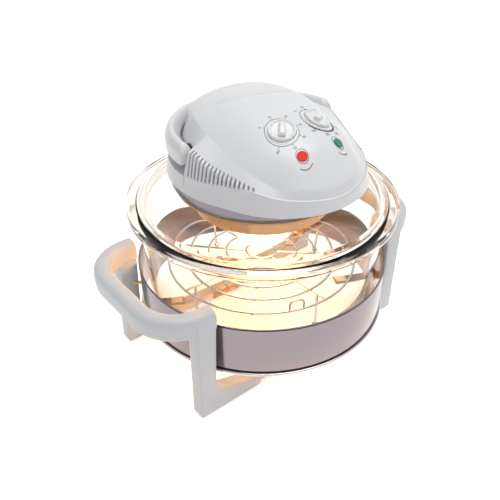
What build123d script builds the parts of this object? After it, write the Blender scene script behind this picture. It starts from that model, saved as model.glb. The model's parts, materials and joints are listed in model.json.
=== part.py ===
from build123d import *
import os
from math import cos, radians, sin, sqrt

# A countertop halogen oven: a glass bowl in a white stand with two loop handles and a steel band, and a
# lift-off glass lid that carries the heater head. Millimetres, +Z up, front (controls) towards -Y.
# The origin is on the worktop, on the bowl's axis.

os.makedirs("parts", exist_ok=True)

# ---------------------------------------------------------------- driving dimensions
# bowl and lid glass
RIM_RADIUS = 170.0
GLASS = 5.0
BOWL_BOTTOM = 58.0
BOWL_LOW_RADIUS = 149.0
BOWL_HIGH_RADIUS = 156.0
BOWL_CORNER = 34.0
RIM_UNDER = 200.0
RIM_TOP = 206.5
RIM_INNER = 153.5
LID_RIM_TOP = 213.0
LID_TOP = 237.0
LID_SHOULDER = 112.0
LID_HOLE = 94.0
CLAMP_CIRCLE = 90.0
CLAMP_COUNT = 6

# stand
STAND_X = 171.0
STAND_Y = 97.0
POST_WIDTH = 23.0
POST_DEPTH = 20.0
POST_TOP = 157.0
POST_CORNER = 4.0
LOOP_X = 217.0
LOOP_WIDTH = 22.0
LOOP_HEIGHT = 28.0
LOOP_CORNER = 60.0
FRAME_BOTTOM = 1.0
BAR_POST_HEIGHT = 32.0
BAR_MID_HEIGHT = 20.0
BAR_END_HEIGHT = 16.0
BAR_STEP_X = 78.0
BAR_STEP = 6.0
BAND_RADIUS = 163.0
BAND_WALL = 1.0
BAND_BOTTOM = 55.0
BAND_TOP = 126.0
BAND_BEAD = 2.0
BRACKET_ANGLE = 27.0
BRACKET_ANGLES = [BRACKET_ANGLE, 180 - BRACKET_ANGLE, 180 + BRACKET_ANGLE, -BRACKET_ANGLE]
SCREW_Z = 95.0
JOINT_Z = FRAME_BOTTOM + BAR_STEP + 4.5

# head: two egg-shaped outlines, each the hull of a rear circle and a nose circle
HEAD_BOTTOM = 251.0
SKIRT_TOP = 285.0
SKIRT_REAR = 116.5
SKIRT_REAR_TOP = 113.5
SKIRT_NOSE = 104.0
SKIRT_NOSE_Y = -33.0
SHOULDER_REAR = 106.6
SHOULDER_NOSE = 94.0
SHOULDER_NOSE_Y = -40.0
SHELL = 2.6
BOSSES = [(-76.0, -56.0), (76.0, -56.0), (-66.0, 50.0), (66.0, 50.0)]
SWITCH_Y = 23.5
GLAND_Z = 261.0
MOTOR_PLATE_Z = 264.0
MOTOR_POSTS = [(-34.0, 0.0), (34.0, 0.0)]
ROOF_SIDE = 135.0
ROOF_SIDE_SLOPE = 0.40
# roof stations from nose to rear: y, crown height, half width of the raised panel, height of its edge
ROOF = [
    (-150.0, 248.0, 34.0, 246.0),
    (-133.0, 267.5, 40.0, 264.0),
    (-114.0, 290.0, 54.0, 272.0),
    (-95.0, 309.0, 64.0, 278.5),
    (-62.0, 323.5, 77.0, 290.5),
    (-20.0, 333.5, 80.0, 305.0),
    (20.0, 339.0, 77.5, 315.5),
    (60.0, 334.0, 62.0, 317.0),
    (95.0, 315.5, 45.0, 307.5),
    (125.0, 292.0, 40.0, 286.0),
]

# carrying handle: a bail that lies round the back of the head
BAIL_INNER = 97.6
BAIL_OUTER = 115.5
BAIL_LOW = 282.0
BAIL_CROWN = 12.0
BAIL_END = 13.5
BAIL_HEEL = 4.0
PIVOT_Y = 15.0
PIVOT_Z = 295.0
RECESS_FRONT_Y = 1.0
RECESS_FLOOR = 271.0
RECESS_RADIUS_LOW = 95.8
RECESS_RADIUS_HIGH = 91.0
RECESS_TOP = 345.0
PIN_RADIUS = 3.0
PIN_HEAD = 5.0
PIN_HEAD_X = 88.0
PIN_END_X = 108.0
SWITCH_REACH = 94.0
RUN_GAP = 0.05

# vents in the two sides of the head
VENT_COUNT = 17
VENT_WIDTH = 2.2
VENT_FIRST_DEG = -2.6
VENT_PITCH_DEG = 2.65
VENT_BOTTOM = 270.0
VENT_PAD = 2.0
VENT_DEPTH = 5.2

# controls on the sloping face: (x, y, z) of the centre and the outward normal, mirrored left to right
DIAL_X = 25.6
DIAL_Y = -61.5
DIAL_NORMAL = (0.25, -0.32, 0.92)
DIAL_SEAT = 17.5
KNOB_RADIUS = 15.5
KNOB_HEIGHT = 8.5
LENS_X = 26.4
LENS_Y = -95.3
LENS_NORMAL = (0.29, -0.55, 0.78)
LENS_RADIUS = 6.0
SHAFT_RADIUS = 3.0

# heater under the lid
REFLECTOR_RADIUS = 83.0
REFLECTOR_BOTTOM = 200.0
REFLECTOR_TOP = 245.0
SHEET = 1.0
TUBE_RING = 56.0
TUBE_RADIUS = 5.0
TUBE_Z = 214.0
TUBE_SPAN = 300.0
FAN_RADIUS = 42.0
FAN_Z = 226.0

# wire rack
RACK_Z = 118.0
RACK_WIRE = 1.5
RACK_RINGS = [21.0, 48.0, 72.0, 97.0, 123.0]
RACK_FOOT = BOWL_BOTTOM + GLASS
RACK_BALL = 4.0
RACK_SPOKE = 1.6
RACK_LEG = 1.8
RACK_WELD = 2.2
RACK_LOOP_WIRE = 1.2
RACK_LOOP_WIDTH = 18.0
RACK_LOOP_HEIGHT = 14.0

UP = (Align.CENTER, Align.CENTER, Align.MIN)
parts = {}


# ---------------------------------------------------------------- helpers
def rod(radius, z_low, z_high, x=0.0, y=0.0):
    """Upright round bar."""
    return Pos(x, y, z_low) * Cylinder(radius, z_high - z_low, align=UP)


def tube(inner, outer, z_low, z_high, x=0.0, y=0.0):
    """Upright ring with a flat top and bottom."""
    return rod(outer, z_low, z_high, x, y) - rod(inner, z_low - 1, z_high + 1, x, y)


def block(x_low, x_high, y_low, y_high, z_low, z_high):
    """Box given by its two corners."""
    box = Box(x_high - x_low, y_high - y_low, z_high - z_low)
    return Pos((x_low + x_high) / 2, (y_low + y_high) / 2, (z_low + z_high) / 2) * box


def turned(points):
    """Solid of revolution about Z from a closed polygon of (radius, height)."""
    return revolve(Plane.XZ * make_face(Polyline(*points, close=True)), Axis.Z)


def mirrored(solid):
    """The same piece on the other side of the YZ plane."""
    return mirror(solid, Plane.YZ)


def around(solid, count, start=0.0):
    """Copies of a piece spaced evenly about Z."""
    return [Rot(0, 0, start + 360.0 * step / count) * solid for step in range(count)]


def cross_bar(radius, x_low, x_high, y, z):
    """Round bar along X."""
    return Pos((x_low + x_high) / 2, y, z) * Rot(0, 90, 0) * Cylinder(radius, x_high - x_low)


def joined(pieces):
    """One solid from pieces that all meet once the last of them is in."""
    return pieces[0].fuse(*pieces[1:])


def group(pieces):
    """Separate solids kept together in one node."""
    return Compound(children=[piece.solid() for piece in pieces])


# ---------------------------------------------------------------- bowl
def make_bowl():
    outer = [
        (0, BOWL_BOTTOM),
        (BOWL_LOW_RADIUS, BOWL_BOTTOM),
        (BOWL_HIGH_RADIUS, RIM_UNDER - 10),
        (RIM_RADIUS - 4, RIM_UNDER),
        (RIM_RADIUS, RIM_UNDER),
        (RIM_RADIUS, RIM_TOP),
        (0, RIM_TOP),
    ]
    body_face = make_face(Polyline(*outer, close=True))
    corner = body_face.vertices().sort_by_distance((BOWL_LOW_RADIUS, BOWL_BOTTOM))[0]
    body_face = fillet(corner, BOWL_CORNER)
    hollow = [
        (0, BOWL_BOTTOM + GLASS),
        (BOWL_LOW_RADIUS - GLASS, BOWL_BOTTOM + GLASS),
        (BOWL_HIGH_RADIUS - GLASS, RIM_UNDER - 8),
        (RIM_INNER, RIM_UNDER),
        (RIM_INNER, RIM_TOP + 5),
        (0, RIM_TOP + 5),
    ]
    hollow_face = make_face(Polyline(*hollow, close=True))
    corner = hollow_face.vertices().sort_by_distance((BOWL_LOW_RADIUS - GLASS, BOWL_BOTTOM + GLASS))[0]
    hollow_face = fillet(corner, BOWL_CORNER - GLASS)
    bowl = revolve(Plane.XZ * body_face, Axis.Z) - revolve(Plane.XZ * hollow_face, Axis.Z)
    rim_edges = bowl.edges().filter_by(GeomType.CIRCLE).filter_by(lambda edge: edge.radius > RIM_RADIUS - 1)
    return fillet(rim_edges, 2.4)


# ---------------------------------------------------------------- wire rack
def make_rack():
    """Round grid of bent wire on four ball-ended legs, with two lifting loops on its outer ring."""
    outer_ring = RACK_RINGS[-1]
    level = Pos(0, 0, RACK_Z)
    rings = [level * Torus(radius, RACK_WIRE) for radius in RACK_RINGS]
    spoke = cross_bar(RACK_SPOKE, RACK_RINGS[0], outer_ring, 0, RACK_Z - RACK_WELD)
    leg_x = outer_ring - 16
    leg = rod(RACK_LEG, RACK_FOOT + RACK_BALL, RACK_Z - RACK_WELD, leg_x)
    ball = Pos(leg_x, 0, RACK_FOOT + RACK_BALL) * Sphere(RACK_BALL)
    loop_half = RACK_LOOP_WIDTH / 2
    loop_line = FilletPolyline(
        (0, -loop_half, 0),
        (0, -loop_half, RACK_LOOP_HEIGHT),
        (0, loop_half, RACK_LOOP_HEIGHT),
        (0, loop_half, 0),
        radius=6,
    )
    loop = sweep(Plane(origin=loop_line @ 0, z_dir=loop_line % 0) * Circle(RACK_LOOP_WIRE), path=loop_line)
    loop = Pos(outer_ring - 0.6, 0, RACK_Z) * loop
    return joined(around(spoke, 8) + rings + around(leg, 4) + around(ball, 4) + around(loop, 2, 250.0))


# ---------------------------------------------------------------- stand
def make_frame_left():
    """One moulding: loop handle, two posts and two half bars."""
    x_out = -STAND_X
    x_in = x_out + POST_WIDTH
    side = Polyline(
        (x_out, FRAME_BOTTOM),
        (x_out, POST_TOP),
        (x_in + 4, POST_TOP),
        (x_in, BAR_POST_HEIGHT + 16),
        (x_in + 12, BAR_POST_HEIGHT - 2),
        (-BAR_STEP_X - 25, BAR_MID_HEIGHT),
        (-0.1, BAR_END_HEIGHT),
        (-0.1, FRAME_BOTTOM + BAR_STEP),
        (-BAR_STEP_X, FRAME_BOTTOM + BAR_STEP),
        (-BAR_STEP_X - 2, FRAME_BOTTOM),
        close=True,
    )
    leg = extrude(Plane.XZ * make_face(side), amount=POST_DEPTH / 2, both=True)
    leg = Pos(0, STAND_Y - POST_DEPTH / 2, 0) * leg
    leg = fillet(leg.edges().filter_by(Axis.Z).group_by(Axis.X)[0], POST_CORNER)
    loop_low = POST_TOP - LOOP_HEIGHT
    loop = block(-LOOP_X, x_in + 4, -STAND_Y, STAND_Y, loop_low, POST_TOP)
    loop = fillet(loop.edges().filter_by(Axis.Z).group_by(Axis.X)[0], LOOP_CORNER)
    gap = block(
        -LOOP_X + LOOP_WIDTH,
        x_in + 30,
        -STAND_Y + POST_DEPTH,
        STAND_Y - POST_DEPTH,
        loop_low - 5,
        POST_TOP + 5,
    )
    gap = fillet(gap.edges().filter_by(Axis.Z).group_by(Axis.X)[0], LOOP_CORNER - LOOP_WIDTH)
    loop -= gap
    top_edges = loop.faces().sort_by(Axis.Z)[-1].edges().filter_by(lambda e: e.center().X < x_in - 2)
    loop = fillet(top_edges, 8.0)
    low_edges = loop.faces().sort_by(Axis.Z)[0].edges().filter_by(lambda e: e.center().X < x_in - 2)
    loop = fillet(low_edges, 5.0)
    frame = joined([loop, leg, mirror(leg, Plane.XZ)])
    frame -= rod(BAND_RADIUS + 0.1, BAND_BOTTOM - 2, POST_TOP + 5)
    frame -= rod(BAND_RADIUS + BAND_BEAD * 2 + 0.3, BAND_BOTTOM - 1.5, BAND_BOTTOM + 2 * BAND_BEAD + 1)
    for sign in (-1, 1):
        frame -= radial(180 + sign * BRACKET_ANGLE, rod_along_x(2.05, BAND_RADIUS - 5, 178), SCREW_Z)
        frame -= Pos(x_out + POST_WIDTH / 2, sign * (STAND_Y - POST_DEPTH / 2), 0) * Box(17, 13, 6)
        frame -= Pos(-15, sign * (STAND_Y - POST_DEPTH), JOINT_Z) * Rot(90, 0, 0) * Cylinder(1.55, 24)
    return frame


def rod_along_x(radius, x_low, x_high):
    return cross_bar(radius, x_low, x_high, 0, 0)


def radial(angle, piece, height):
    """Turn a piece that lies along +X to an angle about Z, at a height."""
    return Rot(0, 0, angle) * Pos(0, 0, height) * piece


def make_band():
    """Open steel band with a folded top hem and an outward bead at the bottom."""
    inner = BAND_RADIUS - BAND_WALL
    bead_centre = BAND_BOTTOM + BAND_BEAD
    band = turned(
        [
            (inner, bead_centre),
            (BAND_RADIUS, bead_centre),
            (BAND_RADIUS, BAND_TOP),
            (inner - 0.8, BAND_TOP),
            (inner - 0.8, BAND_TOP - 4),
            (inner, BAND_TOP - 4),
        ]
    )
    band += Pos(0, 0, bead_centre) * Torus(BAND_RADIUS + 0.6, BAND_BEAD)
    for angle in BRACKET_ANGLES:
        band -= radial(angle, rod_along_x(2.2, BAND_RADIUS - 6, BAND_RADIUS + 6), SCREW_Z)
    return band


def make_bracket():
    """Bent strip inside the band: an upright leaf and a tongue under the bowl."""
    leaf = block(159.2, 161.2, -8, 8, 54.5, 108)
    tongue = block(108, 161.2, -8, 8, 54.5, 56.5)
    bracket = leaf + tongue
    return bracket - Pos(0, 0, SCREW_Z) * rod_along_x(2.2, 150, 170)


def make_bracket_screw():
    head = rod_along_x(4.0, 157.1, 159.2)
    return head + rod_along_x(2.0, 159.2, 176)


def make_stand():
    left = make_frame_left()
    parts["stand_frame_left"] = left
    parts["stand_frame_right"] = mirrored(left)
    pads = []
    pad_x = STAND_X - POST_WIDTH / 2
    pad_y = STAND_Y - POST_DEPTH / 2
    for x in (-pad_x, pad_x):
        for y in (-pad_y, pad_y):
            pads.append(Pos(x, y, 0) * Box(16.6, 12.6, 2.9, align=UP))
    parts["foot_pads"] = group(pads)
    plates = []
    screws = []
    for sign in (-1, 1):
        inner_face = STAND_Y - POST_DEPTH
        y_low, y_high = sorted((sign * inner_face, sign * (inner_face - 2)))
        plate = block(-28, 28, y_low, y_high, JOINT_Z - 4, JOINT_Z + 4)
        for x in (-15, 15):
            hole = Pos(x, sign * (inner_face - 1), JOINT_Z) * Rot(90, 0, 0)
            plate -= hole * Cylinder(1.7, 6)
            shank = Pos(x, sign * (inner_face + 3), JOINT_Z) * Rot(90, 0, 0) * Cylinder(1.5, 10)
            head = Pos(x, sign * (inner_face - 3), JOINT_Z) * Rot(90, 0, 0) * Cylinder(3.0, 2)
            screws.append(shank + head)
        plates.append(plate)
    parts["bar_joint_plates"] = group(plates)
    parts["bar_joint_screws"] = group(screws)
    parts["steel_band"] = make_band()
    parts["bowl_brackets"] = group([radial(angle, make_bracket(), 0) for angle in BRACKET_ANGLES])
    pad = block(110, 126, -6, 6, 56.5, BOWL_BOTTOM)
    parts["bowl_rest_pads"] = group([radial(angle, pad, 0) for angle in BRACKET_ANGLES])
    screw = make_bracket_screw()
    parts["bracket_screws"] = group([radial(angle, screw, SCREW_Z) for angle in BRACKET_ANGLES])


# ---------------------------------------------------------------- lid glass and what clamps it


def make_lid():
    top = LID_TOP
    dome_out = ThreePointArc((157.5, LID_RIM_TOP), (138, 228.5), (LID_SHOULDER, top))
    under = top - GLASS
    crown = Polyline((LID_SHOULDER, top), (LID_HOLE, top), (LID_HOLE, under), (LID_SHOULDER - 2, under))
    dome_in = ThreePointArc((LID_SHOULDER - 2, top - GLASS), (134.5, 224.5), (147.5, 211.5))
    rim = Polyline(
        (147.5, 211.5),
        (147.5, 202.0),
        (152.5, 202.0),
        (152.5, RIM_TOP),
        (RIM_RADIUS, RIM_TOP),
        (RIM_RADIUS, LID_RIM_TOP),
        (157.5, LID_RIM_TOP),
    )
    section = make_face(dome_out + crown + dome_in + rim)
    lid = revolve(Plane.XZ * section, Axis.Z)
    outer_edges = lid.edges().filter_by(GeomType.CIRCLE).filter_by(lambda edge: edge.radius > RIM_RADIUS - 1)
    return fillet(outer_edges, 2.4)


def make_lid_group():
    parts["glass_lid"] = make_lid()
    parts["lid_seal"] = tube(96, 111, LID_TOP, LID_TOP + 1.2)
    collar = turned([(104, LID_TOP + 1.2), (112, LID_TOP + 1.2), (110, HEAD_BOTTOM), (104, HEAD_BOTTOM)])
    parts["collar_ring"] = collar
    clamp = tube(85.5, 108, 228.8, 230.8)
    clamp_seal = tube(96, 107, 230.8, LID_TOP - GLASS)
    screws = []
    for step in range(CLAMP_COUNT):
        angle = radians(30 + 60 * step)
        x = CLAMP_CIRCLE * cos(angle)
        y = CLAMP_CIRCLE * sin(angle)
        clamp -= rod(2.3, 225, 235, x, y)
        screws.append(rod(4.0, 226.3, 228.8, x, y) + rod(2.0, 228.8, 258, x, y))
    parts["clamp_ring"] = clamp
    parts["clamp_seal"] = clamp_seal
    parts["clamp_screws"] = group(screws)


# ---------------------------------------------------------------- head shell
def egg(rear, nose, nose_y):
    """Egg outline: the hull of a circle about the axis and a smaller one towards the nose."""
    normal_y = (rear - nose) / nose_y
    normal_x = sqrt(1 - normal_y**2)
    rear_right = (rear * normal_x, rear * normal_y)
    rear_left = (-rear_right[0], rear_right[1])
    nose_right = (nose * normal_x, nose_y + nose * normal_y)
    nose_left = (-nose_right[0], nose_right[1])
    outline = ThreePointArc(rear_right, (0, rear), rear_left)
    outline += Line(rear_left, nose_left)
    outline += ThreePointArc(nose_left, (0, nose_y - nose), nose_right)
    outline += Line(nose_right, rear_right)
    return make_face(outline)


def egg_body(inset, z_low):
    """The head's plan form: a skirt that leans in up to the shoulder outline, then goes straight up."""
    low = egg(SKIRT_REAR - inset, SKIRT_NOSE - inset, SKIRT_NOSE_Y)
    high = egg(SHOULDER_REAR - inset, SHOULDER_NOSE - inset, SHOULDER_NOSE_Y)
    skirt = loft([Pos(0, 0, z_low) * low, Pos(0, 0, SKIRT_TOP) * high], ruled=True)
    return skirt + extrude(Pos(0, 0, SKIRT_TOP) * high, amount=RECESS_TOP + 10 - SKIRT_TOP)


def roof_body(drop):
    """Everything under the head's domed top surface, which is lowered by drop for the inside."""
    sections = []
    for y, crown, half_width, edge_height in ROOF:
        side_height = edge_height - ROOF_SIDE_SLOPE * (ROOF_SIDE - half_width)
        mid_height = crown - (crown - edge_height) * 0.24
        right = [(half_width / 2, mid_height), (half_width, edge_height), (ROOF_SIDE, side_height)]
        left = [(-x, z) for x, z in reversed(right)]
        points = [(x, z - drop) for x, z in left + [(0, crown)] + right]
        curve = Spline(*points)
        frame_line = Polyline(points[-1], (ROOF_SIDE, 120), (-ROOF_SIDE, 120), points[0])
        plane = Plane(origin=(0, y, 0), x_dir=(1, 0, 0), z_dir=(0, -1, 0))
        sections.append(plane * make_face(curve + frame_line))
    return loft(sections)


def recess_body(grow):
    """The space that the carrying handle lies in, round the back of the head."""
    floor = RECESS_FLOOR - grow
    space = block(-150, 150, RECESS_FRONT_Y - grow, 150, floor, RECESS_TOP)
    core_low = RECESS_RADIUS_LOW - grow
    core_high = RECESS_RADIUS_HIGH - grow
    core = Pos(0, 0, floor) * Cone(core_low, core_high, RECESS_TOP - floor, align=UP)
    return space - core


def rear_skirt(inset):
    """Round rear part of the skirt, under the handle recess."""
    height = RECESS_FLOOR - HEAD_BOTTOM
    body = Pos(0, 0, HEAD_BOTTOM) * Cone(SKIRT_REAR - inset, SKIRT_REAR_TOP - inset, height, align=UP)
    return body & block(-150, 150, RECESS_FRONT_Y, 150, 200, 400)


def roof_height(x, y):
    """Height of the domed top at a point, read from the solid itself."""
    probe = Pos(x, y, 0) * Line((0, 0, 240), (0, 0, 380))
    hit = roof_solid & probe
    return hit.bounding_box().max.Z


def face_plane(x, y, normal):
    """Plane on the control face, its Z along the outward normal."""
    outward = (normal[0] if x > 0 else -normal[0], normal[1], normal[2])
    return Plane(origin=(x, y, roof_height(x, y)), x_dir=(1, 0, 0), z_dir=outward)


def vent_angles():
    """Angles of the vent slots about the axis, from the handle recess towards the nose."""
    return [VENT_FIRST_DEG - VENT_PITCH_DEG * step for step in range(VENT_COUNT)]


roof_solid = roof_body(0)


def make_upper_housing():
    outer = egg_body(0, HEAD_BOTTOM)
    outer += rear_skirt(0)
    pad = egg_body(-VENT_PAD, VENT_BOTTOM)
    pad &= block(-150, 150, -98, RECESS_FRONT_Y, VENT_BOTTOM, RECESS_TOP)
    pad -= rod(60, 200, 400)
    outer += pad
    outer &= roof_solid
    outer -= recess_body(0)

    inner = egg_body(SHELL, HEAD_BOTTOM - 0.5)
    inner += Pos(0, 0, -0.5) * rear_skirt(SHELL)
    inner &= roof_body(SHELL)
    inner -= recess_body(SHELL)
    shell = outer - inner

    for x, y in BOSSES:
        boss = rod(4.5, HEAD_BOTTOM + 4.5, 330, x, y) & roof_solid
        shell += boss
        shell -= rod(1.55, HEAD_BOTTOM, HEAD_BOTTOM + 20, x, y)

    slot_x = SHOULDER_REAR - VENT_DEPTH
    slot = block(slot_x, 140, -VENT_WIDTH / 2, VENT_WIDTH / 2, VENT_BOTTOM + 2, RECESS_TOP)
    for angle in vent_angles():
        reach = outline_reach(angle) - SHOULDER_REAR
        cut = Rot(0, 0, angle) * Pos(reach, 0, 0) * slot
        shell -= cut
        shell -= mirrored(cut)

    for x_sign in (-1, 1):
        dial = face_plane(x_sign * DIAL_X, DIAL_Y, DIAL_NORMAL)
        shell -= dial * Pos(0, 0, -0.8) * Cylinder(DIAL_SEAT, 8, align=UP)
        shell -= dial * Cylinder(SHAFT_RADIUS + 0.6, 20)
        lens = face_plane(x_sign * LENS_X, LENS_Y, LENS_NORMAL)
        shell -= lens * Cylinder(LENS_RADIUS + 0.05, 20)
        shell -= Pos(x_sign * 91, PIVOT_Y, PIVOT_Z) * Rot(0, 90, 0) * Cylinder(PIN_RADIUS + 0.02, 12)
    shell -= cross_bar(2.4, 84, 97, SWITCH_Y, PIVOT_Z)
    shell -= Pos(0, SKIRT_REAR - 4, GLAND_Z) * Rot(90, 0, 0) * Cylinder(6.05, 20)
    return shell


def outline_reach(angle):
    """Distance from the axis to the shoulder outline at an angle measured from +X."""
    direction = (cos(radians(angle)), sin(radians(angle)))
    normal_y = (SHOULDER_REAR - SHOULDER_NOSE) / SHOULDER_NOSE_Y
    normal_x = sqrt(1 - normal_y**2)
    if angle >= -12:
        return SHOULDER_REAR
    on_line = SHOULDER_REAR / (direction[0] * normal_x + direction[1] * normal_y)
    along = on_line * (-direction[0] * normal_y + direction[1] * normal_x)
    if along < SHOULDER_NOSE_Y * normal_x:
        b = direction[1] * SHOULDER_NOSE_Y
        return b + sqrt(b**2 - SHOULDER_NOSE_Y**2 + SHOULDER_NOSE**2)
    return on_line


def make_base_plate():
    """Floor of the head, which the shell drops over and the clamp screws pull down on the collar."""
    inset = SHELL + 1.5
    outline = egg(SKIRT_REAR - inset, SKIRT_NOSE - inset, SKIRT_NOSE_Y)
    plate = extrude(Pos(0, 0, HEAD_BOTTOM) * outline, amount=2.5)
    plate -= rod(9, 240, 260)
    for step in range(CLAMP_COUNT):
        angle = radians(30 + 60 * step)
        x = CLAMP_CIRCLE * cos(angle)
        y = CLAMP_CIRCLE * sin(angle)
        plate += rod(4.5, HEAD_BOTTOM + 2.5, HEAD_BOTTOM + 9, x, y)
        plate -= rod(2.05, 240, HEAD_BOTTOM + 8, x, y)
    for x, y in BOSSES:
        plate += tube(1.8, 4.5, HEAD_BOTTOM + 2.5, HEAD_BOTTOM + 4.4, x, y)
        plate -= rod(1.8, 240, 260, x, y)
    for x, y in MOTOR_POSTS:
        plate += rod(3.5, HEAD_BOTTOM + 2.5, MOTOR_PLATE_Z, x, y)
        plate -= rod(1.55, MOTOR_PLATE_Z - 6, MOTOR_PLATE_Z + 1, x, y)
    return plate


def make_head_shell():
    parts["upper_housing"] = make_upper_housing()
    parts["base_plate"] = make_base_plate()
    screws = []
    for x, y in BOSSES:
        head = rod(3.2, HEAD_BOTTOM - 2, HEAD_BOTTOM, x, y)
        screws.append(head + rod(1.5, HEAD_BOTTOM, HEAD_BOTTOM + 18, x, y))
    parts["housing_screws"] = group(screws)
    outlet = Pos(0, SKIRT_REAR + 2.5, GLAND_Z) * Rot(90, 0, 0)
    gland = outlet * Cylinder(8.5, 10, align=UP) - rear_skirt(0)
    gland += outlet * Cylinder(6.0, 14.5, align=UP)
    parts["cord_gland"] = gland - outlet * Cylinder(3.75, 40)


# ---------------------------------------------------------------- controls
def make_knob(plane):
    """Round dial with a raised finger ridge across it."""
    base = Cylinder(KNOB_RADIUS, 3.4, align=UP)
    crown = Pos(0, 0, 3.4) * Cone(KNOB_RADIUS, KNOB_RADIUS - 1.5, 1.6, align=UP)
    ridge = Pos(0, 0, 3.4) * Box(6.5, 2 * KNOB_RADIUS - 5, KNOB_HEIGHT - 3.4, align=UP)
    ridge = fillet(ridge.edges().filter_by(Axis.Y).group_by(Axis.Z)[-1], 2.0)
    knob = base + crown + ridge
    knob -= Cylinder(SHAFT_RADIUS + 0.02, 5.0, align=UP)
    return plane * Pos(0, 0, -0.4) * knob


def make_controls():
    left = (-1, "timer_knob", "timer_shaft", "timer_body")
    right = (1, "temperature_knob", "thermostat_shaft", "thermostat_body")
    for x_sign, knob_name, shaft_name, body_name in (left, right):
        plane = face_plane(x_sign * DIAL_X, DIAL_Y, DIAL_NORMAL)
        parts[knob_name] = make_knob(plane)
        parts[shaft_name] = plane * Pos(0, 0, -14) * Cylinder(SHAFT_RADIUS, 18.3, align=UP)
        case = Pos(0, 0, -26) * Box(32, 34, 18, align=UP)
        case += Pos(0, 0, -8) * Cylinder(6, 2.5, align=UP)
        case -= Pos(0, 0, -14.4) * Cylinder(SHAFT_RADIUS + RUN_GAP, 20, align=UP)
        parts[body_name] = plane * case
    for x_sign, name in ((-1, "power_lens"), (1, "heat_lens")):
        plane = face_plane(x_sign * LENS_X, LENS_Y, LENS_NORMAL)
        lens = Pos(0, 0, -5.5) * Cylinder(LENS_RADIUS, 6.0, align=UP)
        dome = Pos(0, 0, 0.5) * Sphere(LENS_RADIUS) & Pos(0, 0, 0.5) * Cylinder(LENS_RADIUS, 1.6, align=UP)
        lens += dome
        lens -= Pos(0, 0, -5.6) * Cylinder(LENS_RADIUS - 1.4, 4.4, align=UP)
        parts[name] = plane * lens
    bulbs = []
    for x_sign in (-1, 1):
        plane = face_plane(x_sign * LENS_X, LENS_Y, LENS_NORMAL)
        bulb = Pos(0, 0, -13) * Cylinder(2.5, 9, align=UP)
        bulb += Pos(0, 0, -4) * Sphere(2.5)
        bulbs.append(plane * bulb)
    parts["indicator_bulbs"] = group(bulbs)


# ---------------------------------------------------------------- carrying handle
def bail_section():
    """Section of the handle at radius x and height y: upright sides and a half round top."""
    sides = Polyline(
        (BAIL_INNER, PIVOT_Z),
        (BAIL_INNER, BAIL_LOW),
        (BAIL_OUTER - 2, BAIL_LOW),
        (BAIL_OUTER, BAIL_LOW + 2),
        (BAIL_OUTER, PIVOT_Z),
        (BAIL_INNER, PIVOT_Z),
    )
    half_width = (BAIL_OUTER - BAIL_INNER) / 2
    return make_face(sides) + Pos(BAIL_INNER + half_width, PIVOT_Z) * Ellipse(half_width, BAIL_CROWN)


def make_bail():
    """Half ring with rounded ends that turn on pins in the sides of the head."""
    bail = revolve(Plane.XZ * bail_section(), Axis.Z, revolution_arc=180)
    front = block(-130, 130, -1, PIVOT_Y, BAIL_LOW - 1, PIVOT_Z + BAIL_CROWN + 1)
    front -= block(-131, 131, PIVOT_Y - BAIL_END, PIVOT_Y + 1, BAIL_LOW - 2, PIVOT_Z)
    front -= cross_bar(BAIL_END, -131, 131, PIVOT_Y, PIVOT_Z)
    bail -= front
    heels = bail.edges().filter_by(Axis.X).group_by(Axis.Z)[0]
    bail = fillet(heels, BAIL_HEEL)
    for x_low, x_high in ((-PIN_END_X - 0.5, -80), (80, PIN_END_X + 0.5)):
        bail -= cross_bar(PIN_RADIUS + RUN_GAP, x_low, x_high, PIVOT_Y, PIVOT_Z)
    return bail + cross_bar(3.0, SWITCH_REACH + 0.6, 99, SWITCH_Y, PIVOT_Z)


def make_handle_group():
    parts["carrying_handle"] = make_bail()
    pin = cross_bar(PIN_RADIUS, PIN_HEAD_X, PIN_END_X, PIVOT_Y, PIVOT_Z)
    pin += cross_bar(PIN_HEAD, PIN_HEAD_X - 2, PIN_HEAD_X, PIVOT_Y, PIVOT_Z)
    parts["handle_pivot_pins"] = group([pin, mirrored(pin)])
    washer = cross_bar(4.8, 93.9, 95.3, PIVOT_Y, PIVOT_Z)
    washer -= cross_bar(PIN_RADIUS + 0.02, 90, 100, PIVOT_Y, PIVOT_Z)
    parts["handle_washers"] = group([washer, mirrored(washer)])
    switch = block(64, 83, SWITCH_Y - 6, SWITCH_Y + 12, PIVOT_Z - 5, PIVOT_Z + 5)
    switch -= cross_bar(2.05, 77, 90, SWITCH_Y, PIVOT_Z)
    parts["safety_switch"] = switch
    parts["switch_plunger"] = cross_bar(2.0, 77.5, SWITCH_REACH, SWITCH_Y, PIVOT_Z)


# ---------------------------------------------------------------- motor, fans and heater
def make_fan(radius, hub, z, height, blades, lean):
    """Hub, back disc and radial blades."""
    fan = rod(hub, z, z + height) + rod(radius, z + height - 1.2, z + height)
    blade = block(hub - 1, radius - 1, -0.6, 0.6, z, z + height - 1)
    for step in range(blades):
        fan += Rot(0, 0, 360.0 * step / blades) * Pos(0, lean, 0) * blade
    return fan - rod(SHAFT_RADIUS + 0.02, z - 5, z + height + 5)


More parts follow.
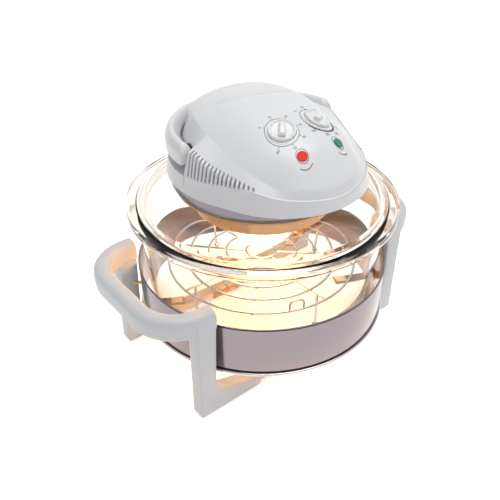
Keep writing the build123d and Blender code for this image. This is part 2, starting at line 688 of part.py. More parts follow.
def make_drive():
    parts["motor_shaft"] = rod(SHAFT_RADIUS, FAN_Z - 3, 316)
    parts["motor"] = tube(SHAFT_RADIUS + RUN_GAP, 27, MOTOR_PLATE_Z + 2, 296)
    plate = block(-40, 40, -10, 10, MOTOR_PLATE_Z, MOTOR_PLATE_Z + 2)
    plate += rod(22, MOTOR_PLATE_Z, MOTOR_PLATE_Z + 2)
    plate -= rod(8, 250, 280)
    screws = []
    for x, y in MOTOR_POSTS:
        plate -= rod(1.7, 250, 280, x, y)
        head = rod(3.0, MOTOR_PLATE_Z + 2, MOTOR_PLATE_Z + 4, x, y)
        screws.append(head + rod(1.5, MOTOR_PLATE_Z - 5, MOTOR_PLATE_Z + 2, x, y))
    parts["motor_bracket"] = plate
    parts["motor_screws"] = group(screws)
    parts["cooling_fan"] = make_fan(33, 8, 301, 10, 9, 0)
    parts["convection_fan"] = make_fan(FAN_RADIUS, 8, FAN_Z, 11, 8, 0)


def make_heater():
    shell = turned(
        [
            (REFLECTOR_RADIUS - SHEET, REFLECTOR_BOTTOM),
            (REFLECTOR_RADIUS, REFLECTOR_BOTTOM),
            (REFLECTOR_RADIUS, REFLECTOR_TOP),
            (6, REFLECTOR_TOP),
            (6, REFLECTOR_TOP - SHEET),
            (REFLECTOR_RADIUS - SHEET, REFLECTOR_TOP - SHEET),
        ]
    )
    parts["reflector"] = shell
    shield = tube(7, 100, REFLECTOR_TOP + 2, REFLECTOR_TOP + 3)
    spacers = []
    for step in range(CLAMP_COUNT):
        angle = radians(30 + 60 * step)
        x = CLAMP_CIRCLE * cos(angle)
        y = CLAMP_CIRCLE * sin(angle)
        shield -= rod(2.3, 240, 255, x, y)
    for step in range(3):
        angle = radians(90 + 120 * step)
        x = 66 * cos(angle)
        y = 66 * sin(angle)
        spacers.append(tube(2.1, 4, REFLECTOR_TOP, REFLECTOR_TOP + 2, x, y))
        spacers.append(tube(2.1, 4, REFLECTOR_TOP + 3, HEAD_BOTTOM, x, y))
    parts["heat_shield"] = shield
    parts["shield_spacers"] = group(spacers)

    sweep_path = CenterArc((0, 0, 0), TUBE_RING, -60, TUBE_SPAN)
    section = Plane(origin=sweep_path @ 0, z_dir=sweep_path % 0) * Circle(TUBE_RADIUS)
    quartz = sweep(section, path=sweep_path)
    parts["halogen_tube"] = Pos(0, 0, TUBE_Z) * quartz
    caps = []
    for end in (0, 1):
        outward = (sweep_path % end) * (1 if end else -1)
        place = Plane(origin=(sweep_path @ end) + Vector(0, 0, TUBE_Z), x_dir=(0, 0, 1), z_dir=outward)
        caps.append(place * Box(14, 14, 12, align=UP))
    parts["lamp_end_caps"] = group(caps)
    clips = []
    for angle in (20, 90, 160):
        x = TUBE_RING * cos(radians(angle))
        y = TUBE_RING * sin(radians(angle))
        hanger = block(-4, 4, -0.6, 0.6, TUBE_Z + TUBE_RADIUS + 0.2, REFLECTOR_TOP - SHEET)
        clips.append(Pos(x, y, 0) * Rot(0, 0, angle) * hanger)
    parts["lamp_clips"] = group(clips)

    guard = tube(REFLECTOR_RADIUS - 4.5, REFLECTOR_RADIUS - SHEET, REFLECTOR_BOTTOM, REFLECTOR_BOTTOM + 3)
    for radius in (12, 26, 40, 54, 68):
        guard += Pos(0, 0, REFLECTOR_BOTTOM + 1.5) * Torus(radius, 1.2)
    bar = Pos(10, 0, REFLECTOR_BOTTOM + 1.5) * Rot(0, 90, 0) * Cylinder(1.2, 69.5, align=UP)
    guard += around(bar, 6, 15.0)
    parts["heater_guard"] = guard


# ---------------------------------------------------------------- build
parts["glass_bowl"] = make_bowl()
parts["wire_rack"] = make_rack()
make_stand()
make_lid_group()
make_head_shell()
make_controls()
make_handle_group()
make_drive()
make_heater()

for name, shape in parts.items():
    export_step(shape, f"parts/{name}.step")
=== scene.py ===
"""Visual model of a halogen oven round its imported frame. Row frame in metres, front towards -Y.

Pieces are modelled in millimetres and brought to metres when they are finished.
"""

import bisect
import json
import math

import bmesh
import bpy
from bpy.props import FloatProperty, IntProperty, PointerProperty, StringProperty
from mathutils import Matrix, Vector


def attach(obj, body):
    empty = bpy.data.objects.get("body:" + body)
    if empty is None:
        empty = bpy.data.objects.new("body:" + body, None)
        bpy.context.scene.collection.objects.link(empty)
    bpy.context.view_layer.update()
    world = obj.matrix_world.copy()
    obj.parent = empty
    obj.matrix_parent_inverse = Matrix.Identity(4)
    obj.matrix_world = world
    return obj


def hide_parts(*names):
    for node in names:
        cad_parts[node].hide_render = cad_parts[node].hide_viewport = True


bl_info = {
    "name": "Halogen oven",
    "version": (1, 0, 0),
    "blender": (4, 5, 0),
    "location": "3D View > Sidebar > Halogen oven",
    "description": "Glass, mouldings and finishes of a countertop halogen oven",
    "category": "Object",
}

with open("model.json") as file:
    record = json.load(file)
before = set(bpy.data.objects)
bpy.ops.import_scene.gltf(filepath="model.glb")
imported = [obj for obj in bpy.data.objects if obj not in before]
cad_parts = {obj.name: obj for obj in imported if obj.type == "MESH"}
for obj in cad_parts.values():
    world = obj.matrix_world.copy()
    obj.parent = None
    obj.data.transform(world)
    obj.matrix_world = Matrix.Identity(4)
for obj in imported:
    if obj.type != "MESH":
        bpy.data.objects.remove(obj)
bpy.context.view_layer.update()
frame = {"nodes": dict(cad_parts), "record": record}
CAD_NODES = frame["nodes"]

MM = 0.001
TURN = 2 * math.pi
RING_STEPS = 192
DIAL_STEPS = 96

# glass
RIM_RADIUS = 170.0
GLASS = 5.0

# stand: corner centre of the loop handle, its section about that centre, and the side outline of a leg
LOOP_CORNER = (157.0, 37.0)
LOOP_SECTION = [(39.0, 129.0, 5.0), (60.0, 129.0, 5.0), (60.0, 157.0, 8.5), (39.0, 157.0, 8.0)]
LOOP_END = 144.0
LEG = [
    (171.0, 1.0),
    (171.0, 150.0),
    (144.4, 150.0),
    (148.0, 48.0),
    (136.0, 30.0),
    (103.0, 20.0),
    (0.1, 16.0),
    (0.1, 7.0),
    (78.0, 7.0),
    (80.0, 1.0),
]
LEG_INNER = 77.0
LEG_OUTER = 96.6

# head: outlines about the bowl's axis, angles in degrees from +X, negative towards the front
HEAD_BOTTOM = 251.0
HEAD_WALL = 2.6
LIP = 2.4
SKIRT_REAR = 116.5
SKIRT_NOSE = 104.0
SKIRT_NOSE_Y = -33.0
SHOULDER_REAR = 106.6
SHOULDER_NOSE = 94.0
SHOULDER_NOSE_Y = -40.0
SHOULDER_HEIGHTS = [
    (-134.0, 265.0),
    (-131.0, 266.7),
    (-120.0, 269.1),
    (-105.0, 271.5),
    (-74.0, 278.9),
    (-50.0, 284.3),
    (-29.0, 290.6),
    (-12.0, 297.4),
    (-9.0, 298.5),
]
# roof: y, crown height, half width of the raised panel, height of the panel's edge
ROOF = [
    (-150.0, 248.0, 34.0, 246.0),
    (-133.0, 267.5, 40.0, 264.0),
    (-114.0, 290.0, 54.0, 272.0),
    (-95.0, 309.0, 64.0, 278.5),
    (-62.0, 323.5, 77.0, 290.5),
    (-20.0, 333.5, 80.0, 305.0),
    (20.0, 339.0, 77.5, 315.5),
    (60.0, 334.0, 62.0, 317.0),
    (95.0, 315.5, 45.0, 307.5),
    (125.0, 292.0, 40.0, 286.0),
]
PANEL_POWER = 2.4
LEDGE_SLOPE = 0.40
RECESS_START = 0.5
RECESS_FLOOR = 271.0
RECESS_RADIUS = 95.8
CORE_EDGE = 94.6
CORE_EDGE_HEIGHTS = [
    (0.0, 298.0),
    (14.0, 295.5),
    (35.0, 294.5),
    (52.0, 295.5),
    (64.0, 300.0),
    (78.0, 306.0),
    (90.0, 307.5),
]
RECESS_SKIRT = 113.5
VENT_FIRST = 2.7
VENT_PITCH = 2.65
VENT_WIDTH = 2.1
VENT_DEPTH = 5.2
VENT_BOTTOMS = [(2.0, 271.4), (12.0, 272.2), (24.0, 273.6), (36.0, 275.0), (48.0, 276.2)]

# carrying handle
BAIL_SECTION = [
    (97.6, 282.0, 1.0),
    (113.5, 282.0, 0.4),
    (115.5, 284.0, 0.4),
    (115.5, 297.0, 7.0),
    (110.8, 307.0, 5.0),
    (105.0, 307.0, 6.0),
    (97.6, 294.5, 1.5),
]
BAIL_START = 8.0
BAIL_FRONT = 1.5
BAIL_TOE = 13.5
BAIL_HEEL = 4.0
PIVOT_Y = 15.0
PIVOT_Z = 295.0

# controls: centre and outward normal of the right-hand one of each pair
DIAL_CENTRE = Vector((25.6, -61.5, 320.307))
DIAL_NORMAL = Vector((0.2486, -0.3182, 0.9149))
LENS_CENTRE = Vector((26.4, -95.3, 303.87))
KNOB_RADIUS = 15.5
KNOB_HEIGHT = 8.5
BEZEL_RADIUS = 18.3
NUMBER_REACH = 24.2
NUMBER_SIZE = 4.2
PRINT_LIFT = 0.06
DARK_ARC_LIFT = 0.1
INLAY_LIFT = 0.04
DIALS = [
    # side, body, node, turn of the ridge from +Y, numbers round the dial
    (-1, "timer", "timer_knob", -39.0, ("0", "10", "20", "30", "40", "50", "60")),
    (1, "thermostat", "temperature_knob", -62.0, ("65", "100", "125", "150", "175", "200", "225", "250")),
]


# ---------------------------------------------------------------- colours and shader nodes
def linear(hex_colour, alpha=1.0):
    """An sRGB hex colour as the linear one that shaders take."""
    channels = [int(hex_colour[i : i + 2], 16) / 255 for i in (0, 2, 4)]
    return (*[c / 12.92 if c <= 0.04045 else ((c + 0.055) / 1.055) ** 2.4 for c in channels], alpha)


def add_node(material, kind, values=None, links=None, **settings):
    """Adds one shader node with its settings, socket values and incoming links."""
    tree = material.node_tree
    made = tree.nodes.new(kind)
    for name, value in settings.items():
        setattr(made, name, value)
    for socket, value in (values or {}).items():
        made.inputs[socket].default_value = value
    for socket, source in (links or {}).items():
        tree.links.new(source, made.inputs[socket])
    return made


def new_material(name):
    """An empty material and the node that puts its pattern in millimetres of the object."""
    material = bpy.data.materials.new(name)
    material.use_nodes = True
    material.node_tree.nodes.clear()
    place = add_node(material, "ShaderNodeTexCoord")
    return material, place.outputs["Object"]


def close_material(material, shader):
    """Joins the last shader to the material's output."""
    add_node(material, "ShaderNodeOutputMaterial", links={"Surface": shader})
    return material


def per_mm(size):
    """Noise scale, in features per metre, for features of a size in millimetres."""
    return 1.0 / (size * MM)


def moulded(name, colour, shade, roughness, grain, depth, **shader):
    """Moulded plastic or rubber: a slow drift of tone and a fine grain from the mould's wall."""
    material, place = new_material(name)
    drift = add_node(
        material, "ShaderNodeTexNoise", {"Scale": per_mm(60.0), "Detail": 2.0}, {"Vector": place}
    )
    tone = add_node(
        material,
        "ShaderNodeMix",
        {"A": linear(shade), "B": linear(colour)},
        {"Factor": drift.outputs["Fac"]},
        data_type="RGBA",
    )
    wall = add_node(
        material, "ShaderNodeTexNoise", {"Scale": per_mm(grain), "Detail": 4.0}, {"Vector": place}
    )
    gloss = add_node(
        material,
        "ShaderNodeMapRange",
        {"To Min": roughness - 0.04, "To Max": roughness + 0.05},
        {"Value": wall.outputs["Fac"]},
    )
    bump = add_node(
        material, "ShaderNodeBump", {"Strength": 1.0, "Distance": depth * MM}, {"Height": wall.outputs["Fac"]}
    )
    body = add_node(
        material,
        "ShaderNodeBsdfPrincipled",
        shader,
        {"Base Color": tone.outputs["Result"], "Roughness": gloss.outputs["Result"], "Normal": bump.outputs["Normal"]},
    )
    return close_material(material, body.outputs["BSDF"])


def metal(name, colour, roughness, streak, depth, dark=0.85):
    """Metal with streaks of the given size along x, y and z, left by brushing, rolling or drawing."""
    material, place = new_material(name)
    along = add_node(
        material, "ShaderNodeMapping", {"Scale": [per_mm(size) for size in streak]}, {"Vector": place}
    )
    lines = add_node(
        material, "ShaderNodeTexNoise", {"Scale": 1.0, "Detail": 3.0}, {"Vector": along.outputs["Vector"]}
    )
    full = linear(colour)
    worn = [channel * dark for channel in full[:3]] + [1.0]
    tone = add_node(
        material,
        "ShaderNodeMix",
        {"A": worn, "B": full},
        {"Factor": lines.outputs["Fac"]},
        data_type="RGBA",
    )
    gloss = add_node(
        material,
        "ShaderNodeMapRange",
        {"To Min": max(roughness - 0.05, 0.02), "To Max": roughness + 0.07},
        {"Value": lines.outputs["Fac"]},
    )
    bump = add_node(
        material, "ShaderNodeBump", {"Strength": 1.0, "Distance": depth * MM}, {"Height": lines.outputs["Fac"]}
    )
    body = add_node(
        material,
        "ShaderNodeBsdfPrincipled",
        {"Metallic": 1.0},
        {"Base Color": tone.outputs["Result"], "Roughness": gloss.outputs["Result"], "Normal": bump.outputs["Normal"]},
    )
    return close_material(material, body.outputs["BSDF"])


def clear(name, colour, ior, roughness, ripple, glow=0.0, glow_colour="ffffff"):
    """Clear glass or plastic with slow ripples in its skin. Light falls through it without a dark shadow."""
    material, place = new_material(name)
    waves = add_node(
        material, "ShaderNodeTexNoise", {"Scale": per_mm(45.0), "Detail": 1.0}, {"Vector": place}
    )
    bump = add_node(
        material, "ShaderNodeBump", {"Strength": 1.0, "Distance": ripple * MM}, {"Height": waves.outputs["Fac"]}
    )
    body = add_node(
        material,
        "ShaderNodeBsdfPrincipled",
        {
            "Base Color": linear(colour),
            "Roughness": roughness,
            "IOR": ior,
            "Transmission Weight": 1.0,
            "Emission Color": linear(glow_colour),
            "Emission Strength": glow,
        },
        {"Normal": bump.outputs["Normal"]},
    )
    open_shadow = add_node(material, "ShaderNodeBsdfTransparent", {"Color": linear("f4f4f2")})
    ray = add_node(material, "ShaderNodeLightPath")
    shader = add_node(
        material,
        "ShaderNodeMixShader",
        links={0: ray.outputs["Is Shadow Ray"], 1: body.outputs["BSDF"], 2: open_shadow.outputs["BSDF"]},
    )
    return close_material(material, shader.outputs["Shader"])


def make_materials():
    """Every material by the name of the record's slot that it finishes."""
    colours = bpy.context.scene.oven_colours
    made = {
        # injection-moulded polypropylene: satin, with a fine spark-eroded grain
        "stand_plastic": moulded("polypropylene_moulded", colours.stand, colours.stand_shade, 0.40, 0.9, 0.02),
        # injection-moulded ABS: smooth semi-gloss, with only a slight orange peel
        "head_plastic": moulded("abs_moulded", colours.head, colours.head_shade, 0.30, 2.5, 0.015),
        # stainless strip, brushed round its length: fine level lines and a long soft highlight
        "band_steel": metal("stainless_brushed", "968e92", 0.16, (60.0, 60.0, 0.6), 0.004),
        # pressed borosilicate glass: clear, with slow ripples from the mould. The real index is 1.473; it is lowered
        # to 1.17 for looks, because the two thick rims trap light and go black at the real one.
        "oven_glass": clear("borosilicate_pressed", "f8f5f0", 1.17, 0.0, 0.1),
        # drawn quartz tube that holds a glowing filament
        "quartz": clear("quartz_drawn", "fff4dc", 1.458, 0.05, 0.1, 6.0, "ffb45a"),
        # moulded nitrile rubber: matt, nearly black
        "rubber_grey": moulded("nitrile_rubber_moulded", "2b2b2d", "242426", 0.75, 0.8, 0.03),
        # moulded silicone: matt and milky
        "silicone": moulded("silicone_moulded", "cdc8c4", "c2bdb8", 0.55, 1.5, 0.02),
        # pressed steel, zinc plated: its pale gold is the lamp's warm light painted in, faintly mottled
        "zinc_steel": metal("steel_zinc_painted_lamp_light", "c2a078", 0.34, (2.0, 2.0, 2.0), 0.01, 0.75),
        # drawn steel wire with chrome plating: bright and smooth
        "rack_wire": metal("wire_chromed", "d8d6d4", 0.14, (4.0, 4.0, 4.0), 0.004, 0.9),
        # spun steel collar, polished: lathe lines run round it
        "collar_metal": metal("steel_spun_polished", "8f868c", 0.16, (50.0, 50.0, 0.8), 0.003, 0.9),
        # rolled aluminium sheet, painted gold for the lamp's warm light on it, with a soft rolled streak
        "sheet_aluminium": metal("aluminium_painted_lamp_light", "caa27c", 0.28, (1.0, 20.0, 20.0), 0.004),
        # steel can in stove enamel: satin dark grey
        "motor_can": moulded("enamel_stoved", "4a4c50", "3f4145", 0.45, 3.0, 0.02),
        # moulded glass-filled nylon: matt black
        "dark_plastic": moulded("nylon_moulded", "242427", "1d1d20", 0.5, 0.7, 0.03),
        # fired steatite: matt off-white
        "ceramic_white": moulded("steatite_fired", "ece6da", "ddd5c6", 0.7, 0.5, 0.03),
        # frosted polycarbonate: light grey, a little light passes through
        "knob_plastic": moulded(
            "polycarbonate_frosted", "f2f4f3", "e6e9e8", 0.22, 2.0, 0.01, **{"Transmission Weight": 0.35, "IOR": 1.58}
        ),
        # coloured acrylic lamp lenses, the red one lit faintly from behind
        "red_lens": moulded(
            "acrylic_red",
            "c81804",
            "b81603",
            0.3,
            3.0,
            0.01,
            **{
                "Coat Weight": 0.0,
                "Specular IOR Level": 0.15,
                "Emission Color": linear("ff2a0c"),
                "Emission Strength": 0.1,
            },
        ),
        "green_lens": moulded("acrylic_green", "08704f", "066244", 0.12, 3.0, 0.01, **{"Coat Weight": 0.3}),
    }
    # the hem's bead: the same strip, coloured lighter as a painted highlight along the bead
    made["bead"] = metal("stainless_painted_highlight", "d6d0d3", 0.1, (60.0, 60.0, 2.0), 0.002)
    # dark rings by the band's edges: painted shade and a painted dark reflection in the grooves beside the bead and
    # the hem
    made["painted_shade_ring"] = metal("stainless_painted_shade", "2a2426", 0.32, (60.0, 60.0, 2.0), 0.002)
    # bezels: the head's ABS with a polished mould wall, in a lighter tone that paints a highlight on the ring
    made["bezel"] = moulded("abs_polished_painted_highlight", "d6d7d9", "d0d1d3", 0.2, 3.0, 0.004)
    # crown inlay: the same ABS, satin
    made["inlay"] = moulded("abs_inlay_satin", "c6c7c9", "c0c1c3", 0.2, 2.0, 0.008)
    # pad-printed ink: matt dark grey, a little uneven
    made["print"] = moulded("ink_pad_printed", "5c5e62", "4c4e52", 0.6, 1.0, 0.01)
    # black arcs round the thermostat dial: a thick one along its front, a thin one at its rear right
    made["dial_dark_arcs"] = moulded("dial_dark_arc_finish", "26272a", "1f2023", 0.35, 1.0, 0.01)
    return made


# ---------------------------------------------------------------- mesh helpers
def smooth(table, at):
    """Values of a smooth curve through the rows of a short table, whose first column is the place."""
    places = [row[0] for row in table]
    at = min(max(at, places[0]), places[-1])
    i = min(bisect.bisect_right(places, at), len(table) - 1) - 1
    low, high = table[i], table[i + 1]
    before, after = table[max(i - 1, 0)], table[min(i + 2, len(table) - 1)]
    width = high[0] - low[0]
    t = (at - low[0]) / width
    values = []
    for k in range(1, len(low)):
        leave = (high[k] - before[k]) / (high[0] - before[0]) * width
        arrive = (after[k] - low[k]) / (after[0] - low[0]) * width
        values.append(
            (2 * t**3 - 3 * t**2 + 1) * low[k]
            + (t**3 - 2 * t**2 + t) * leave
            + (3 * t**2 - 2 * t**3) * high[k]
            + (t**3 - t**2) * arrive
        )
    return values


def only(kind, items):
    """The items of one bmesh type."""
    return [item for item in items if isinstance(item, kind)]


def finish_piece(bm, name, body, slot, finishes, replaces=(), material=None, crease=32):
    """Turns a bmesh in millimetres into a finished piece that rides on a body."""
    bmesh.ops.remove_doubles(bm, verts=bm.verts, dist=0.002)
    bmesh.ops.recalc_face_normals(bm, faces=bm.faces)
    bmesh.ops.scale(bm, vec=(MM, MM, MM), verts=bm.verts)
    mesh = bpy.data.meshes.new(name)
    bm.to_mesh(mesh)
    bm.free()
    mesh.shade_smooth()
    mesh.set_sharp_from_angle(angle=math.radians(crease))
    piece = bpy.data.objects.new(name, mesh)
    bpy.context.scene.collection.objects.link(piece)
    mesh.materials.append(finishes[material or slot])
    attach(piece, body)
    if replaces:
        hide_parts(*replaces)


def section(bm, corners):
    """Flat closed section in the XZ plane from (radius, height, rounding) corners. Returns its edges."""
    made = [(bm.verts.new((radius, 0, height)), rounding) for radius, height, rounding in corners]
    face = bm.faces.new([vert for vert, _ in made])
    for vert, rounding in made:
        if not rounding:
            continue
        one, other = (edge.other_vert(vert).co - vert.co for edge in vert.link_edges)
        reach = rounding / math.tan(one.angle(other) / 2)
        bmesh.ops.bevel(
            bm,
            geom=[vert],
            offset=reach,
            offset_type="OFFSET",
            segments=6,
            profile=0.5,
            affect="VERTICES",
            material=-1,
        )
    bmesh.ops.delete(bm, geom=bm.faces[:], context="FACES_ONLY")
    return bm.edges[:]


def turned(corners, steps=RING_STEPS):
    """A bmesh turned a full circle about the z axis from (radius, height, rounding) corners."""
    bm = bmesh.new()
    edges = section(bm, corners)
    bmesh.ops.spin(
        bm,
        geom=edges + bm.verts[:],
        cent=(0, 0, 0),
        axis=(0, 0, 1),
        angle=TURN,
        steps=steps,
        use_merge=True,
    )
    return bm


# ---------------------------------------------------------------- glass
def make_glass(finishes):
    """The bowl and the domed lid, each one pressing."""
    sizes = bpy.context.scene.oven_sizes
    rim = sizes.rim_radius / MM
    wall = sizes.glass_wall / MM
    bowl = turned(
        [
            (0.0, 58.0, 0),
            (149.0, 58.0, 34.0),
            (156.0, 190.0, 8.0),
            (166.0, 200.0, 2.5),
            (rim, 200.0, 1.2),
            (rim, 206.4, 1.2),
            (153.5, 206.4, 1.2),
            (153.5, 200.0, 3.0),
            (156.0 - wall, 192.0, 8.0),
            (149.0 - wall, 58.0 + wall, 34.0 - wall),
            (0.0, 58.0 + wall, 0),
        ]
    )
    finish_piece(bowl, "bowl_glass_pressing", "bowl", "oven_glass", finishes, ["glass_bowl"])
    lid = turned(
        [
            (94.0, 237.0 - wall, 0.6),
            (94.0, 237.0, 0.6),
            (112.0, 237.0, 30.0),
            (139.2, 233.4, 55.0),
            (157.5, 213.0, 3.5),
            (rim, 213.0, 1.2),
            (rim, 206.6, 1.2),
            (152.5, 206.6, 0.6),
            (152.5, 202.0, 1.2),
            (147.5, 202.0, 1.2),
            (147.5, 211.5, 2.0),
            (134.2, 231.7, 36.0),
            (110.0, 232.0, 4.0),
        ]
    )
    finish_piece(lid, "lid_glass_pressing", "lid", "oven_glass", finishes, ["glass_lid"])


# ---------------------------------------------------------------- band
def make_band(finishes):
    """Steel band with a folded hem at the top, a rolled bead at the bottom and a dark ring of painted shade by each.
    """
    band = turned(
        [
            (163.0, 57.6, 0.2),
            (163.0, 126.0, 0.6),
            (161.2, 126.0, 0.6),
            (161.2, 122.0, 0.2),
            (162.0, 122.0, 0.2),
            (162.0, 57.6, 0.2),
        ]
    )
    finish_piece(band, "band_rolled", "stand", "band_steel", finishes, ["steel_band"])
    bead = turned([(162.0, 55.0, 0.8), (165.6, 55.0, 1.75), (165.6, 58.8, 1.75), (162.0, 58.8, 0.3)])
    # the bead's lighter steel is a painted highlight
    finish_piece(bead, "band_bead", "stand", "band_steel", finishes, material="bead")
    # dark rings of painted shade beside the bead and the hem
    for place, low, high in (("hem", 59.0, 61.2), ("lip", 124.0, 125.3)):
        painted_shade_ring = turned([(162.6, low, 0), (163.3, low, 0), (163.3, high, 0), (162.6, high, 0)])
        finish_piece(painted_shade_ring, f"band_{place}_seam", "stand", "band_steel", finishes, material="painted_shade_ring")


# ---------------------------------------------------------------- stand
def push(bm, edges, move, shrink=1.0):
    """Draws edges out along a vector and shrinks the new ones about their middle. Returns the new edges."""
    made = bmesh.ops.extrude_edge_only(bm, edges=edges)["geom"]
    verts = only(bmesh.types.BMVert, made)
    bmesh.ops.translate(bm, verts=verts, vec=move)
    middle = sum((vert.co for vert in verts), Vector()) / len(verts)
    bmesh.ops.scale(bm, vec=(shrink, shrink, shrink), verts=verts, space=Matrix.Translation(-middle))
    return only(bmesh.types.BMEdge, made)


def swing(bm, edges, centre, angle, steps):
    """Turns edges about an upright axis, leaving a surface behind. Returns the last edges."""
    verts = list({vert for edge in edges for vert in edge.verts})
    last = bmesh.ops.spin(
        bm, geom=edges + verts, cent=(*centre, 0), axis=(0, 0, 1), angle=angle, steps=steps, use_merge=False
    )["geom_last"]
    return only(bmesh.types.BMEdge, last)


def make_stand(finishes):
    """The two stand mouldings: each a loop handle, two posts and two half bars."""
    x, y = LOOP_CORNER
    for side, name in ((-1, "left"), (1, "right")):
        bm = bmesh.new()
        near = section(bm, LOOP_SECTION)
        bmesh.ops.rotate(bm, verts=bm.verts, cent=(0, 0, 0), matrix=Matrix.Rotation(-math.pi / 2, 3, "Z"))
        bmesh.ops.translate(bm, verts=bm.verts, vec=(x, -y, 0))
        far = swing(bm, near, (x, -y), math.pi / 2, 20)
        far = push(bm, far, (0, 2 * y, 0))
        far = swing(bm, far, (x, y), math.pi / 2, 20)
        for end in (near, far):
            end = push(bm, end, (LOOP_END + 3.0 - x, 0, 0))
            for move, shrink in ((-1.6, 0.98), (-1.0, 0.93), (-0.4, 0.85)):
                end = push(bm, end, (move, 0, 0), shrink)
            bmesh.ops.holes_fill(bm, edges=end, sides=0)
        for leg_side in (-1, 1):
            outline = bm.faces.new([bm.verts.new((across, leg_side * LEG_INNER, height)) for across, height in LEG])
            made = bmesh.ops.extrude_face_region(bm, geom=[outline], use_keep_orig=True)["geom"]
            bmesh.ops.translate(
                bm, verts=only(bmesh.types.BMVert, made), vec=(0, leg_side * (LEG_OUTER - LEG_INNER), 0)
            )
            edges = list({edge for vert in outline.verts for edge in vert.link_edges})
            edges = list({edge for edge in edges for vert in edge.verts for edge in vert.link_edges})
            bmesh.ops.bevel(
                bm, geom=edges, offset=2.2, offset_type="OFFSET", segments=3, profile=0.5, affect="EDGES", material=-1
            )
        bmesh.ops.scale(bm, vec=(side, 1, 1), verts=bm.verts)
        finish_piece(bm, f"stand_{name}_moulding", "stand", "stand_plastic", finishes, [f"stand_frame_{name}"])


# ---------------------------------------------------------------- head
def roof_height(x, y):
    """Height of the domed top at a point: the raised panel, and the ledge outside it."""
    crown, half_width, edge = smooth(ROOF, y)
    if abs(x) < half_width:
        return crown - (crown - edge) * (abs(x) / half_width) ** PANEL_POWER
    return edge - LEDGE_SLOPE * (abs(x) - half_width)


def egg_radius(degrees, rear, nose, nose_y):
    """Distance from the axis to an egg outline, the hull of a rear circle and a nose circle."""
    across, forward = abs(math.cos(math.radians(degrees))), math.sin(math.radians(degrees))
    normal_y = (rear - nose) / nose_y
    normal_x = math.sqrt(1 - normal_y**2)
    if forward >= normal_y:
        return rear
    on_side = rear / (across * normal_x + forward * normal_y)
    along = on_side * (forward * normal_x - across * normal_y)
    if along < nose_y * normal_x:
        middle = forward * nose_y
        return middle + math.sqrt(middle**2 - nose_y**2 + nose**2)
    return on_side


def panel_reach(degrees, limit):
    """Distance from the axis to the edge of the raised panel along a ray, at most the limit."""
    across, forward = abs(math.cos(math.radians(degrees))), math.sin(math.radians(degrees))
    inside, outside = 40.0, limit
    if across * limit < smooth(ROOF, forward * limit)[1]:
        return limit
    for _ in range(24):
        middle = (inside + outside) / 2
        if across * middle < smooth(ROOF, forward * middle)[1]:
            inside = middle
        else:
            outside = middle
    return inside


def vent_centres():
    """Angles of the vent slots from the handle recess towards the nose, in degrees below +X."""
    count = bpy.context.scene.oven_sizes.vent_count
    return [VENT_FIRST + VENT_PITCH * step for step in range(count)]


def head_angles():
    """Angles of the head's spokes: even steps, with extra ones at both sides of every vent slot."""
    half = math.degrees(VENT_WIDTH / 2 / SHOULDER_REAR)
    sides = [(centre, True) for centre in vent_centres()]
    first, last = VENT_FIRST - half - 0.5, sides[-1][0] + half + 0.5
    right = [(-90.0 + step * 1.5, False) for step in range(int((90.0 - last) / 1.5) + 1)]
    for centre, _ in reversed(sides):
        right += [
            (-centre - half - 0.09, False),
            (-centre - half + 0.09, True),
            (-centre, True),
            (-centre + half - 0.09, True),
            (-centre + half + 0.09, False),
        ]
    right += [(-first, False), (RECESS_START - 0.12, False), (RECESS_START + 0.12, False)]
    step = (90.0 - RECESS_START - 0.5) / 60
    right += [(RECESS_START + 0.5 + step * k, False) for k in range(61)]
    right.sort()
    left = [(180.0 - angle, slot) for angle, slot in reversed(right[1:-1])]
    return right + left


